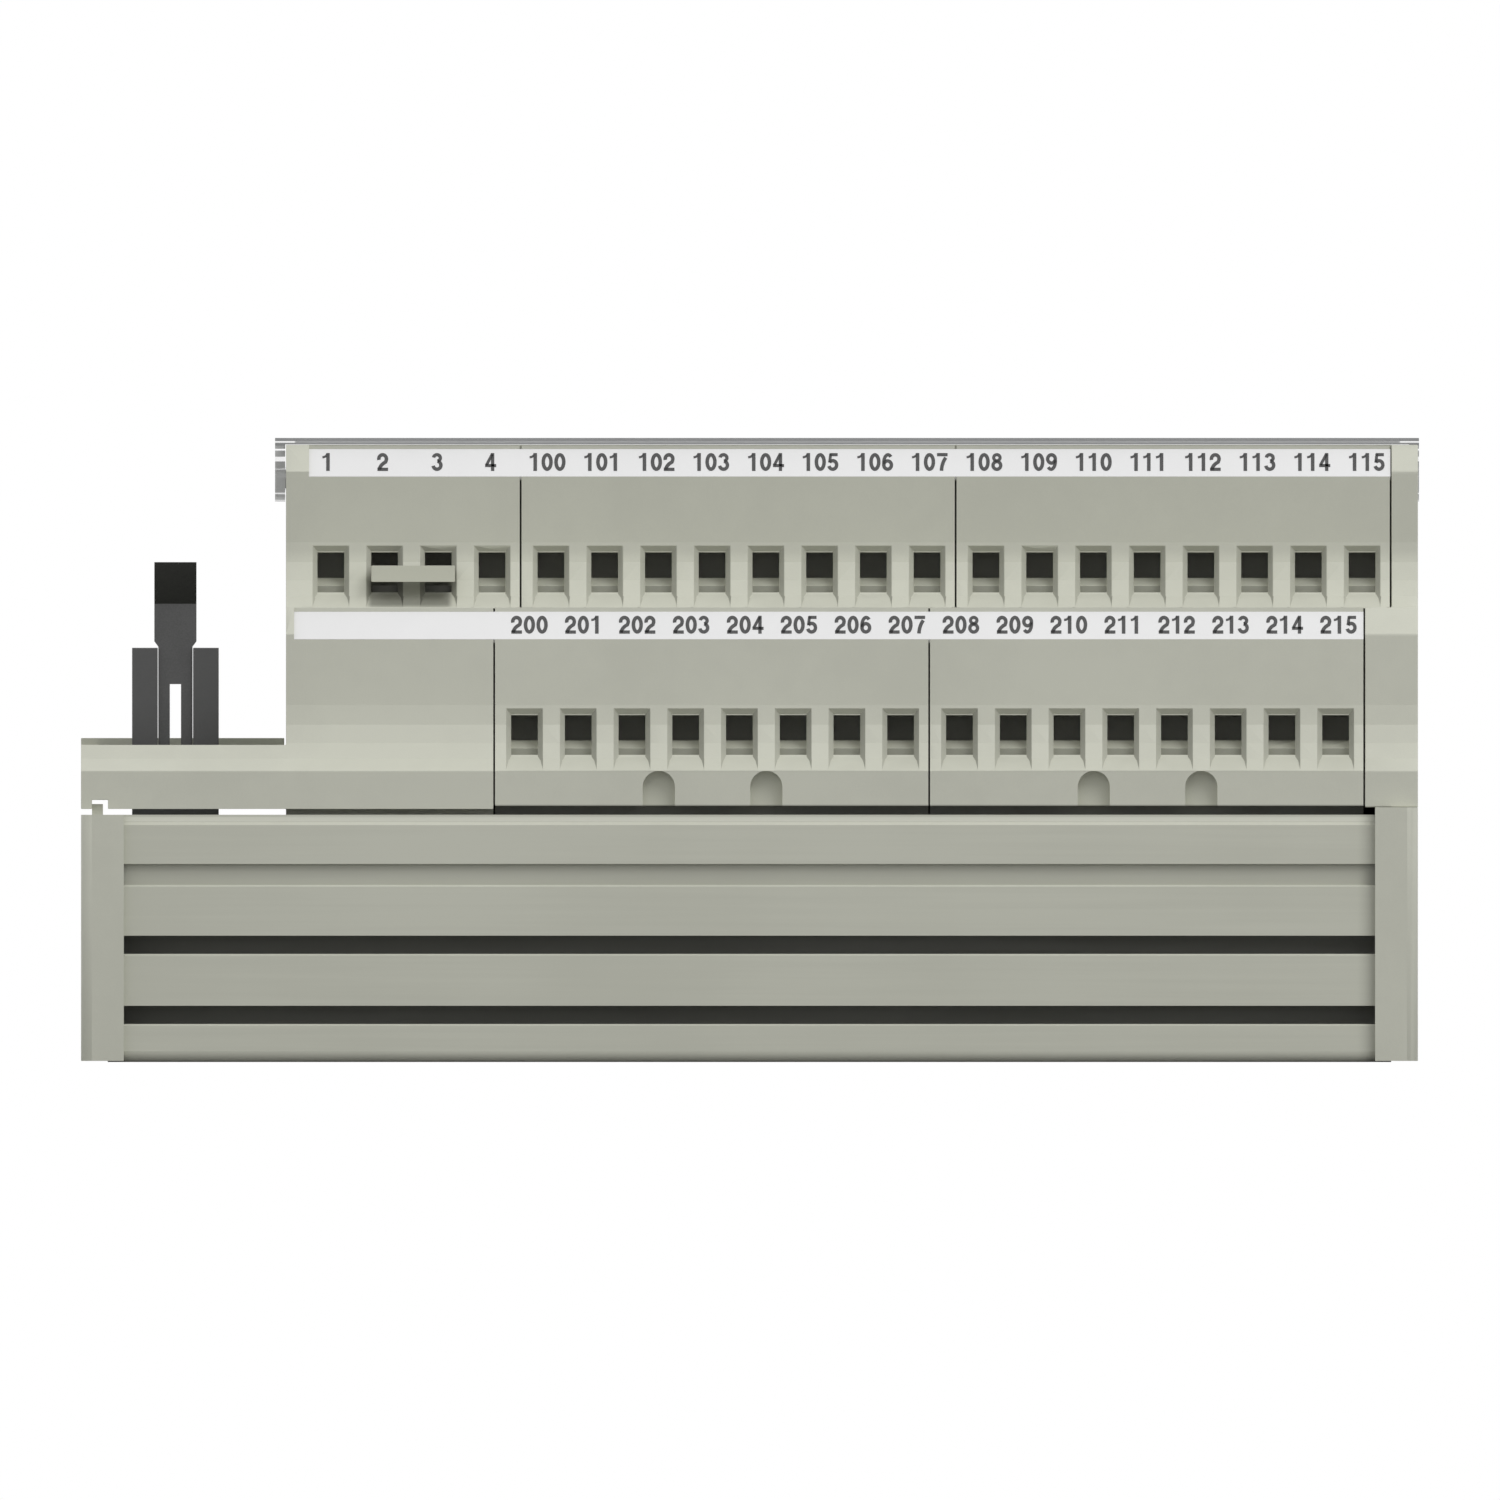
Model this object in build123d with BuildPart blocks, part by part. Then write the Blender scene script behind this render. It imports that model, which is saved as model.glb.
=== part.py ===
from build123d import *

import os
from math import asin, cos, degrees, radians, sin, sqrt

os.makedirs("parts", exist_ok=True)

# Terminal interface sub-base on a 35 mm rail, in millimetres.
# X runs along the rail, -Y is the side with the wire entries, +Z points away from the rail.
# The origin is under the middle of the base, on the plane that the base stands on.

# Whole object
overall_length = 125.0
base_depth = 70.0
wall = 1.6
seam_gap = 0.16
touch = 0.001

# Extruded base
base_height = 23.1
cap_length = 4.0
cap_cover = 1.5
cheek = 0.7
right_reveal = 0.1
base_corner_radius = 1.0
lip_height = 0.7
lip_setback = 0.28
lip_bevel = 0.26
slot_depth = 5.2
slot_height = 1.7
slot_lip = 1.3
slot_undercut = 1.2
lower_slot_z = 3.55
upper_slot_z = 10.1
groove_depth = 0.6
groove_height = 1.96
groove_z = 16.54
edge_bevel = 0.15
side_wall_top = 2.4
shoulder_z = 13.4
floor_top_z = 5.8
rib_reach = 1.2
rib_height = 0.8
ledge_height = 1.0

# Rail channel and sliding feet
rail_width = 35.0
rail_clearance = 0.2
hook_reach = 1.6
hook_height = 2.7
rail_channel_height = 4.0
rail_swing_room = 1.4
foot_end_distance = 30.5
foot_width = 16.0
foot_neck_width = 12.0
foot_neck_height = 1.2
foot_clearance = 0.1
foot_floor_gap = 0.2
foot_inset = 0.4
foot_nose_bevel = 1.2
foot_key_length = 5.0
foot_key_width = 1.6
foot_key_inset = 2.6

# End caps
cap_lift = 0.1
cap_edge_radius = 1.0
right_cap_rise = 0.7
tongue_setback = 1.03
tongue_thickness = 1.02
tongue_height = 1.0
tongue_inset = 2.0

# Circuit board
board_thickness = 1.6
board_drop = 1.6
board_end_gap = 0.3
board_side_gap = 0.2
board_groove_gap = 0.1

# Terminal tiers, seen from the side
housing_setback = 1.2
upper_front_setback = 13.0
lower_tier_depth = 15.6
both_tiers_depth = 28.8
tier_gap = 0.2
skirt_gap = 0.82
leg_clearance = 0.3
lower_datum_rise = 10.25
tier_pitch = 15.2
flare_radius_margin = 1.02
flare_flat_angle = 15.0
lower_flare_extra = 0.07
wall_height = 6.62
label_chamfer = 2.5

# Parts of the length, and the terminals
bay_length = 19.15
tier_shift = 2.47
end_wall_length = 2.47
block_terminals = 8
common_terminals = 4
end_terminal_inset = 2.75
common_end_inset = 4.19
window_width = 2.5
window_drop = 0.95
funnel_depth = 0.6
funnel_width = 3.44
funnel_drop = 0.35
funnel_foot_margin = 0.25
funnel_lead = 1.0
sill_rise = 1.15
ramp_y = 0.9
ramp_foot_rise = 0.7
ramp_head_rise = 1.45
chamber_y = 2.6
chamber_depth = 5.8
chamber_width = 3.8
chamber_top = 2.2
cage_gap = 0.3
cage_depth = 5.2
cage_wall = 0.3
cage_floor_rise = 0.35
cage_bar = 1.0
cage_top = 1.0
screw_diameter = 2.9
screw_sides = 8
screw_length = 3.2
screw_slot_width = 0.6
screw_slot_depth = 0.7
screw_hole_diameter = 3.6
hole_sides = 10
pin_width = 0.8
pin_tail = 1.7
recess_radius = 1.5
recess_depth = 1.5
recess_height = 3.28
first_recess_after_terminals = 3
second_recess_after_terminals = 5

# Label strips
strip_thickness = 0.5
strip_width = 3.635
seat_drop = 0.47
upper_strip_left = 2.15
upper_strip_right = 0.1
lower_strip_left = 0.75
lower_strip_right = 0.15

# Jumper link
link_skipped_terminals = 1
link_end_reach = 2.81
link_height = 1.53
link_thickness = 2.0
link_top = 2.17
link_stand_off = 1.53
prong_width = 1.6
prong_thickness = 0.8
prong_top = 2.3
prong_reach = 5.0

# Connector housing
bay_skirt_gap = 0.54
bay_front_height = 5.98
bay_rear_height = 6.63
bay_front_thickness = 4.0
rebate_height = 0.84
rebate_width = 1.49

# Rear housing
hinge_radius = 3.2
leg_thickness = 1.6
ledge_thickness = 1.5
card_recess_depth = 0.5
card_recess_margin = 3.0

# Box header and latches, with every height counted from the board
header_inset = 8.82
header_width = 8.1
header_length = 42.0
header_height = 17.2
header_floor_height = 7.7
socket_width = 6.1
socket_length = 30.8
key_width = 4.5
key_height = 6.0
contact_pitch = 2.54
contact_rows = 2
contact_columns = 10
contact_width = 0.64
contact_height = 13.1
contact_tail = 1.5
latch_width = 3.2
latch_side_gap = 0.05
latch_head_width = 3.94
latch_shoulder_height = 17.3
latch_taper = 0.5
latch_thickness = 2.0
latch_inset = 0.4
latch_foot_height = 2.9
latch_slot_floor_height = 2.3
latch_slot_length = 3.4
latch_bend_height = 21.3
latch_height = 25.2
latch_lean = 2.8
latch_crest = 1.8
hook_nose = 1.6
hook_height_above_board = 18.8
hook_thickness = 0.6
hook_rise = 2.1
toe_reach = 4.2
toe_height = 8.0
toe_thickness = 1.0
fork_width = 1.04
fork_top_height = 13.8
fork_foot_height = 5.9
pivot_height = 4.1
pivot_radius = 0.8
pivot_length = 4.8
pivot_clearance = 0.08

# Clear cover
cover_thickness = 0.6
cover_lift = 0.03
cover_side_thickness = 0.95
cover_side_gap = 0.07
cover_front_setback = 18.9
cover_ear_setback = 29.6
cover_rear_gap = 2.0
ear_radius = 2.1
cover_pin_radius = 1.1
cover_pin_length = 1.2
cover_pin_clearance = 0.08

# Places worked out from the sizes above, first along the rail
left_x = -overall_length / 2
right_x = overall_length / 2 - right_reveal
profile_left_x = left_x + cap_length - cap_cover
profile_right_x = right_x - cap_length + cap_cover
profile_length = profile_right_x - profile_left_x
housing_split_x = left_x + bay_length
upper_right_x = right_x - end_wall_length
all_insets = 5 * end_terminal_inset + common_end_inset
all_pitches = 2 * (block_terminals - 1) + common_terminals - 1
terminal_pitch = (upper_right_x - housing_split_x - all_insets) / all_pitches
block_length = terminal_pitch * (block_terminals - 1) + 2 * end_terminal_inset
upper_left_x = upper_right_x - 2 * block_length
lower_left_x = upper_left_x - tier_shift
lower_right_x = upper_right_x - tier_shift
header_x = left_x + header_inset
foot_centre_x = overall_length / 2 - foot_end_distance
cover_left_x = housing_split_x - cover_side_gap - cover_side_thickness
cover_right_x = overall_length / 2
rear_right_x = cover_right_x - cover_side_thickness - cover_side_gap

# Heights of the base, the board and the tiers
left_cap_top_z = base_height
right_cap_top_z = base_height + right_cap_rise
board_top_z = base_height - board_drop
board_bottom_z = board_top_z - board_thickness
skirt_z = base_height + skirt_gap
bay_skirt_z = base_height + bay_skirt_gap
lower_datum_z = base_height + lower_datum_rise
upper_datum_z = lower_datum_z + tier_pitch
lower_top_z = lower_datum_z + wall_height + label_chamfer
upper_top_z = upper_datum_z + wall_height + label_chamfer
upper_flare_height = upper_datum_z - lower_top_z
lower_flare_height = upper_flare_height + lower_flare_extra
cover_bottom_z = upper_top_z + cover_lift
hinge_z = upper_top_z - hinge_radius

# Heights of a terminal's parts, counted down from its datum
flare_radius = upper_flare_height + flare_radius_margin
funnel_foot = lower_flare_height - funnel_foot_margin
window_foot = funnel_foot - sill_rise
ramp_foot = window_foot - ramp_foot_rise
ramp_head = window_foot - ramp_head_rise
cage_floor = window_foot - cage_floor_rise

# Places from front to back
profile_y = base_depth / 2 - cheek
tray_y = profile_y - side_wall_top
lower_tray_y = profile_y - slot_depth - wall
board_y = tray_y - board_side_gap
rail_y = rail_width / 2 + rail_clearance
hook_y = rail_y - rail_clearance - hook_reach
channel_rear_y = rail_y + rail_swing_room
front_y = -(base_depth / 2 - housing_setback)
upper_front_y = front_y + upper_front_setback
lower_back_y = front_y + lower_tier_depth
upper_back_y = front_y + both_tiers_depth
leg_y = -(tray_y - rib_reach - leg_clearance)
lower_wall_y = front_y + flare_radius - sqrt(flare_radius**2 - lower_flare_height**2)
upper_wall_y = upper_front_y + flare_radius - sqrt(flare_radius**2 - upper_flare_height**2)
pedestal_y = lower_back_y + tier_gap
rear_front_y = upper_back_y + tier_gap
rear_y = base_depth / 2 - housing_setback
hinge_y = rear_y - hinge_radius
cover_front_y = front_y + cover_front_setback
cover_ear_front_y = front_y + cover_ear_setback
bay_inner_y = front_y + bay_front_thickness
screw_y = chamber_y + chamber_depth / 2

# Heights of the header and its latches
header_top_z = board_top_z + header_height
header_floor_z = board_top_z + header_floor_height
contact_top_z = board_top_z + contact_height
pivot_z = board_top_z + pivot_height
latch_foot_z = board_top_z + latch_foot_height
latch_slot_floor_z = board_top_z + latch_slot_floor_height
latch_shoulder_z = board_top_z + latch_shoulder_height
latch_bend_z = board_top_z + latch_bend_height
latch_top_z = board_top_z + latch_height
hook_z = board_top_z + hook_height_above_board
toe_z = board_top_z + toe_height
fork_top_z = board_top_z + fork_top_height
fork_foot_z = board_top_z + fork_foot_height

# The rail's space seen from the side, with the undercut of the fixed hook at the front
rail_channel_corners = (
    (-hook_y, 0),
    (-hook_y, hook_height),
    (-rail_y, hook_height),
    (-rail_y, rail_channel_height),
    (channel_rear_y, rail_channel_height),
    (channel_rear_y, 0),
)


def flare_points(flare_height):
    """Corners of the hollow flare's flats, from the wall's foot (0, 0) outwards and down."""
    last_angle = degrees(asin(flare_height / flare_radius))
    angles = [flare_flat_angle * step for step in range(int(last_angle / flare_flat_angle - 0.2) + 1)]
    angles.append(last_angle)
    return [(flare_radius * (cos(radians(a)) - 1), -flare_radius * sin(radians(a))) for a in angles]


def tier_front(wall_y, datum_z, flare_height):
    """Draws one tier's front in the side view: the hollow flare, the wall and the label chamfer."""
    flare = [(wall_y + y, datum_z + z) for y, z in reversed(flare_points(flare_height))]
    Polyline(
        *flare,
        (wall_y, datum_z + wall_height),
        (wall_y + label_chamfer, datum_z + wall_height + label_chamfer),
    )


def strip_corners(wall_y, datum_z):
    """Corners of a label strip's section, let into the slope so that its foot is flush with the wall."""
    rise = strip_width * sqrt(0.5)
    skin = strip_thickness * sqrt(0.5)
    foot_z = datum_z + wall_height - seat_drop
    return (
        (wall_y, foot_z),
        (wall_y + skin, foot_z - skin),
        (wall_y + skin + rise, foot_z - skin + rise),
        (wall_y + rise, foot_z + rise),
    )


def strip_space(wall_y, datum_z):
    """Draws the side view of what is cut away for a strip: its seat and the room before it."""
    corners = strip_corners(wall_y, datum_z)
    open_z = datum_z + wall_height + label_chamfer + wall
    Polyline(
        *corners,
        (corners[3][0], open_z),
        (wall_y - wall, open_z),
        (wall_y - wall, corners[0][1]),
        close=True,
    )


def terminal_places(right_edge, count, wall_y, datum_z):
    """Where each terminal's window centre line meets the tier's wall, from left to right."""
    last_x = right_edge - end_terminal_inset
    return [(last_x - terminal_pitch * (count - 1 - i), wall_y, datum_z) for i in range(count)]


# Each block's name, tier, left edge, right edge and number of terminals
lower_right_block_x = lower_left_x + block_length
upper_right_block_x = upper_left_x + block_length
blocks = (
    ("common", "upper", housing_split_x, upper_left_x, common_terminals),
    ("upper_left", "upper", upper_left_x, upper_right_block_x, block_terminals),
    ("upper_right", "upper", upper_right_block_x, upper_right_x, block_terminals),
    ("lower_left", "lower", lower_left_x, lower_right_block_x, block_terminals),
    ("lower_right", "lower", lower_right_block_x, lower_right_x, block_terminals),
)
strip_insets = {"upper": upper_strip_left, "lower": lower_strip_left}
block_places = {}
for block_name, tier, block_left_x, block_right_x, terminals in blocks:
    if tier == "upper":
        block_places[block_name] = terminal_places(block_right_x, terminals, upper_wall_y, upper_datum_z)
    else:
        block_places[block_name] = terminal_places(block_right_x, terminals, lower_wall_y, lower_datum_z)


def save(builder, name):
    """Labels a finished piece and writes it as its own STEP file."""
    builder.part.label = name
    export_step(builder.part, f"parts/{name}.step")


# Base: one extruded section, open at the top, with the rail channel underneath
with BuildPart() as base_profile:
    with BuildSketch(Plane.YZ.offset(profile_left_x)) as base_section:
        with Locations((0, base_height / 2)):
            Rectangle(2 * profile_y, base_height)
        bottom_corners = base_section.vertices().group_by(Axis.Y)[0]
        fillet(bottom_corners, radius=base_corner_radius)
        tray_height = base_height - shoulder_z
        with Locations((0, shoulder_z + tray_height / 2)):
            Rectangle(2 * tray_y, tray_height, mode=Mode.SUBTRACT)
        with Locations((0, (floor_top_z + shoulder_z) / 2)):
            Rectangle(2 * lower_tray_y, shoulder_z - floor_top_z, mode=Mode.SUBTRACT)
        for side in (-1, 1):
            for slot_z in (lower_slot_z, upper_slot_z):
                with Locations((side * (profile_y - slot_depth / 2), slot_z + slot_height / 2)):
                    Rectangle(slot_depth, slot_height, mode=Mode.SUBTRACT)
                hollow_depth = slot_depth - slot_lip
                hollow_height = slot_height + slot_undercut
                hollow_y = profile_y - slot_lip - hollow_depth / 2
                with Locations((side * hollow_y, slot_z + hollow_height / 2)):
                    Rectangle(hollow_depth, hollow_height, mode=Mode.SUBTRACT)
            with Locations((side * (profile_y - groove_depth / 2), groove_z + groove_height / 2)):
                Rectangle(groove_depth, groove_height, mode=Mode.SUBTRACT)
            lip_bottom_z = base_height - lip_height
            with BuildLine():
                Polyline(
                    (side * profile_y, lip_bottom_z - lip_bevel),
                    (side * (profile_y - lip_setback), lip_bottom_z),
                    (side * (profile_y - lip_setback), base_height),
                    (side * profile_y, base_height),
                    close=True,
                )
            make_face(mode=Mode.SUBTRACT)
            rib_y = side * (tray_y - rib_reach / 2)
            with Locations((rib_y, board_top_z + board_groove_gap + rib_height / 2)):
                Rectangle(rib_reach, rib_height)
            with Locations((rib_y, board_bottom_z - ledge_height / 2)):
                Rectangle(rib_reach, ledge_height)
        mouth_heights = (lower_slot_z, upper_slot_z, groove_z)
        side_corners = [c for c in base_section.vertices() if abs(abs(c.X) - profile_y) < touch]
        mouth_corners = [c for c in side_corners if min(abs(c.Y - z) for z in mouth_heights) < touch]
        chamfer(mouth_corners, length=edge_bevel)
        with BuildLine():
            Polyline(*rail_channel_corners, close=True)
        make_face(mode=Mode.SUBTRACT)
    extrude(amount=profile_length)
    for foot_x in (-foot_centre_x, foot_centre_x):
        pocket_length = profile_y - channel_rear_y
        pocket_centre = (foot_x, channel_rear_y + pocket_length / 2)
        with BuildSketch(Plane.XY):
            with Locations(pocket_centre):
                Rectangle(foot_neck_width + 2 * foot_clearance, pocket_length)
        extrude(amount=foot_neck_height, mode=Mode.SUBTRACT)
        with BuildSketch(Plane.XY.offset(foot_neck_height)):
            with Locations(pocket_centre):
                Rectangle(foot_width + 2 * foot_clearance, pocket_length)
        extrude(amount=hook_height - foot_neck_height, mode=Mode.SUBTRACT)
save(base_profile, "base_profile")

# End caps: a plate with two cheeks that close over the end of the base
with BuildPart() as end_cap_left:
    with BuildSketch(Plane.YZ.offset(left_x)):
        with Locations((0, (cap_lift + left_cap_top_z) / 2)):
            Rectangle(base_depth, left_cap_top_z - cap_lift)
        with BuildLine():
            Polyline(*rail_channel_corners, close=True)
        make_face(mode=Mode.SUBTRACT)
    extrude(amount=cap_length)
    outer_edges = end_cap_left.edges().filter_by(Axis.Z).group_by(Axis.X)[0].sort_by(Axis.Y)
    fillet([outer_edges[0], outer_edges[-1]], radius=cap_edge_radius)
    with BuildSketch(Plane.YZ.offset(profile_left_x)):
        with Locations((0, left_cap_top_z / 2)):
            Rectangle(2 * profile_y, left_cap_top_z)
    extrude(amount=cap_cover, mode=Mode.SUBTRACT)
    with BuildSketch(Plane.XY.offset(left_cap_top_z)):
        with Locations((left_x + tongue_setback + tongue_thickness / 2, 0)):
            Rectangle(tongue_thickness, base_depth - 2 * tongue_inset)
    extrude(amount=tongue_height)
save(end_cap_left, "end_cap_left")

with BuildPart() as end_cap_right:
    with BuildSketch(Plane.YZ.offset(right_x - cap_length)):
        with Locations((0, (cap_lift + right_cap_top_z) / 2)):
            Rectangle(base_depth, right_cap_top_z - cap_lift)
        with BuildLine():
            Polyline(*rail_channel_corners, close=True)
        make_face(mode=Mode.SUBTRACT)
    extrude(amount=cap_length)
    outer_edges = end_cap_right.edges().filter_by(Axis.Z).group_by(Axis.X)[-1].sort_by(Axis.Y)
    fillet([outer_edges[0], outer_edges[-1]], radius=cap_edge_radius)
    with BuildSketch(Plane.YZ.offset(right_x - cap_length)):
        with Locations((0, right_cap_top_z / 2)):
            Rectangle(2 * profile_y, right_cap_top_z)
    extrude(amount=cap_cover, mode=Mode.SUBTRACT)
save(end_cap_right, "end_cap_right")

# Circuit board, held in the grooves of the base
with BuildPart() as circuit_board:
    with BuildSketch(Plane.XY.offset(board_bottom_z)):
        with Locations(((profile_left_x + profile_right_x) / 2, 0)):
            Rectangle(profile_length - 2 * board_end_gap, 2 * board_y)
    extrude(amount=board_thickness)
save(circuit_board, "circuit_board")

# Sliding rail feet, each in a T-shaped pocket under the rear of the base
foot_rear_y = profile_y - foot_inset
for foot_name, foot_x in (("rail_foot_left", -foot_centre_x), ("rail_foot_right", foot_centre_x)):
    with BuildPart() as rail_foot:
        foot_length = foot_rear_y - hook_y
        foot_middle = (foot_x, hook_y + foot_length / 2)
        foot_top_z = hook_height - foot_clearance
        with BuildSketch(Plane.XY.offset(foot_floor_gap)):
            with Locations(foot_middle):
                Rectangle(foot_neck_width, foot_length)
        extrude(amount=foot_top_z - foot_floor_gap)
        with BuildSketch(Plane.XY.offset(foot_neck_height + foot_clearance / 2)):
            with Locations(foot_middle):
                Rectangle(foot_width, foot_length)
        extrude(amount=foot_top_z - foot_neck_height - foot_clearance / 2)
        nose_edge = rail_foot.edges().filter_by(Axis.X).group_by(Axis.Z)[0].sort_by(Axis.Y)[0]
        chamfer(nose_edge, length=foot_nose_bevel, length2=foot_neck_height - foot_floor_gap)
        with BuildSketch(Plane.XY):
            with Locations((foot_x, foot_rear_y - foot_key_inset)):
                Rectangle(foot_key_length, foot_key_width)
        extrude(amount=foot_top_z, mode=Mode.SUBTRACT)
    save(rail_foot, foot_name)

# Space of one terminal, placed by its window's centre line, the tier's wall and the tier's datum height
with BuildPart() as terminal_pocket:
    flank = (funnel_width - window_width) / 2 / funnel_depth
    outer_half = funnel_width / 2 + flank * funnel_depth
    with BuildLine(Plane.YZ) as flare_line:
        Polyline((0, funnel_lead), *flare_points(lower_flare_height))
    with BuildSketch(Plane.XY.offset(funnel_lead)):
        with BuildLine():
            Polyline(
                (-outer_half, -funnel_depth),
                (outer_half, -funnel_depth),
                (window_width / 2, funnel_depth),
                (-window_width / 2, funnel_depth),
                close=True,
            )
        make_face()
    sweep(path=flare_line.wires()[0], transition=Transition.RIGHT)
    # The funnel keeps what lies between its sloping sill and its sloping head
    sill_inner_y = -flare_radius + sqrt((flare_radius + funnel_depth) ** 2 - window_foot**2)
    sill_outer_y = -flare_radius + sqrt(flare_radius**2 - funnel_foot**2)
    sill_slope = (funnel_foot - window_foot) / (sill_inner_y - sill_outer_y)
    head_slope = (window_drop - funnel_drop) / funnel_depth
    with BuildSketch(Plane.YZ.offset(-outer_half)):
        with BuildLine():
            Polyline(
                (-flare_radius, -funnel_foot - sill_slope * (sill_outer_y + flare_radius)),
                (funnel_depth, -window_foot + sill_slope * (funnel_depth - sill_inner_y)),
                (funnel_depth, -funnel_drop - head_slope * funnel_depth),
                (-flare_radius, -funnel_drop + head_slope * flare_radius),
                close=True,
            )
        make_face()
    extrude(amount=2 * outer_half, mode=Mode.INTERSECT)
    # Straight tunnel with the ramp that lifts the wire into the clamp
    with BuildSketch(Plane.YZ.offset(-window_width / 2)):
        with BuildLine():
            Polyline(
                (ramp_y, -ramp_foot),
                (ramp_y, -window_foot),
                (sill_inner_y, -window_foot),
                (sill_inner_y, -window_drop),
                (chamber_y, -window_drop),
                (chamber_y, -ramp_head),
                close=True,
            )
        make_face()
    extrude(amount=window_width)
    with BuildSketch(Plane.XY.offset(-cage_floor)):
        with Locations((0, screw_y)):
            Rectangle(chamber_width, chamber_depth)
    extrude(amount=cage_floor + chamber_top)
    with BuildSketch(Plane.XY.offset(chamber_top)):
        with Locations((0, screw_y)):
            RegularPolygon(screw_hole_diameter / 2, hole_sides)
    extrude(amount=wall_height + label_chamfer - chamber_top)

# Clamp cage, a steel loop round the wire
with BuildPart() as clamp_cage:
    cage_width = chamber_width - 2 * cage_gap
    with BuildSketch(Plane.YZ.offset(-cage_width / 2)):
        with Locations((screw_y, (cage_top - cage_floor) / 2)):
            Rectangle(cage_depth, cage_floor + cage_top)
    extrude(amount=cage_width)
    with BuildSketch(Plane.YZ.offset(-cage_width / 2 + cage_wall)):
        with Locations((screw_y, (cage_top - cage_floor) / 2)):
            Rectangle(cage_depth, cage_floor + cage_top - 2 * cage_bar)
    extrude(amount=cage_width - 2 * cage_wall, mode=Mode.SUBTRACT)

# Slotted clamp screw, standing on the cage
with BuildPart() as clamp_screw:
    with BuildSketch(Plane.XY.offset(cage_top)):
        with Locations((0, screw_y)):
            RegularPolygon(screw_diameter / 2, screw_sides)
    extrude(amount=screw_length)
    with BuildSketch(Plane.XY.offset(cage_top + screw_length - screw_slot_depth)):
        with Locations((0, screw_y)):
            Rectangle(screw_diameter, screw_slot_width)
    extrude(amount=screw_slot_depth, mode=Mode.SUBTRACT)

# Terminal blocks with their cages, screws and solder pins
for block_name, tier, block_left_x, block_right_x, terminals in blocks:
    places = block_places[block_name]
    wall_y, datum_z = places[0][1:]
    pin_places = [(place[0], wall_y + screw_y) for place in places]
    with BuildPart() as terminal_block:
        with BuildSketch(Plane.YZ.offset(block_left_x)):
            with BuildLine():
                if tier == "upper":
                    tier_front(upper_wall_y, upper_datum_z, upper_flare_height)
                    Polyline(
                        (upper_wall_y + label_chamfer, upper_top_z),
                        (upper_back_y, upper_top_z),
                        (upper_back_y, board_top_z),
                        (pedestal_y, board_top_z),
                        (pedestal_y, lower_top_z),
                        (upper_front_y, lower_top_z),
                    )
                else:
                    tier_front(lower_wall_y, lower_datum_z, lower_flare_height)
                    Polyline(
                        (lower_wall_y + label_chamfer, lower_top_z),
                        (lower_back_y, lower_top_z),
                        (lower_back_y, board_top_z),
                        (leg_y, board_top_z),
                        (leg_y, skirt_z),
                        (front_y, skirt_z),
                        (front_y, lower_datum_z - lower_flare_height),
                    )
            make_face()
        extrude(amount=block_right_x - block_left_x - seam_gap)
        with BuildSketch(Plane.YZ.offset(max(block_left_x, housing_split_x + strip_insets[tier]))):
            with BuildLine():
                strip_space(wall_y, datum_z)
            make_face()
        extrude(amount=block_length, mode=Mode.SUBTRACT)
        with Locations(*places):
            add(terminal_pocket.part, mode=Mode.SUBTRACT)
        if tier == "lower":
            recess_centre_z = skirt_z + recess_height - recess_radius
            for count in (first_recess_after_terminals, second_recess_after_terminals):
                recess_x = (places[count - 1][0] + places[count][0]) / 2
                with BuildSketch(Plane.XZ.offset(-front_y)):
                    with Locations((recess_x, recess_centre_z)):
                        Circle(recess_radius)
                    with Locations((recess_x, (recess_centre_z + skirt_z) / 2)):
                        Rectangle(2 * recess_radius, recess_centre_z - skirt_z)
                extrude(amount=-recess_depth, mode=Mode.SUBTRACT)
    save(terminal_block, f"terminal_block_{block_name}")

    with BuildPart() as cages:
        with Locations(*places):
            add(clamp_cage.part)
    save(cages, f"cages_{block_name}")

    with BuildPart() as screws:
        with Locations(*places):
            add(clamp_screw.part)
    save(screws, f"screws_{block_name}")

    with BuildPart() as solder_pins:
        with BuildSketch(Plane.XY.offset(board_bottom_z - pin_tail)):
            with Locations(*pin_places):
                Rectangle(pin_width, pin_width)
        extrude(amount=datum_z - cage_floor - board_bottom_z + pin_tail)
    save(solder_pins, f"pins_{block_name}")

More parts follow.
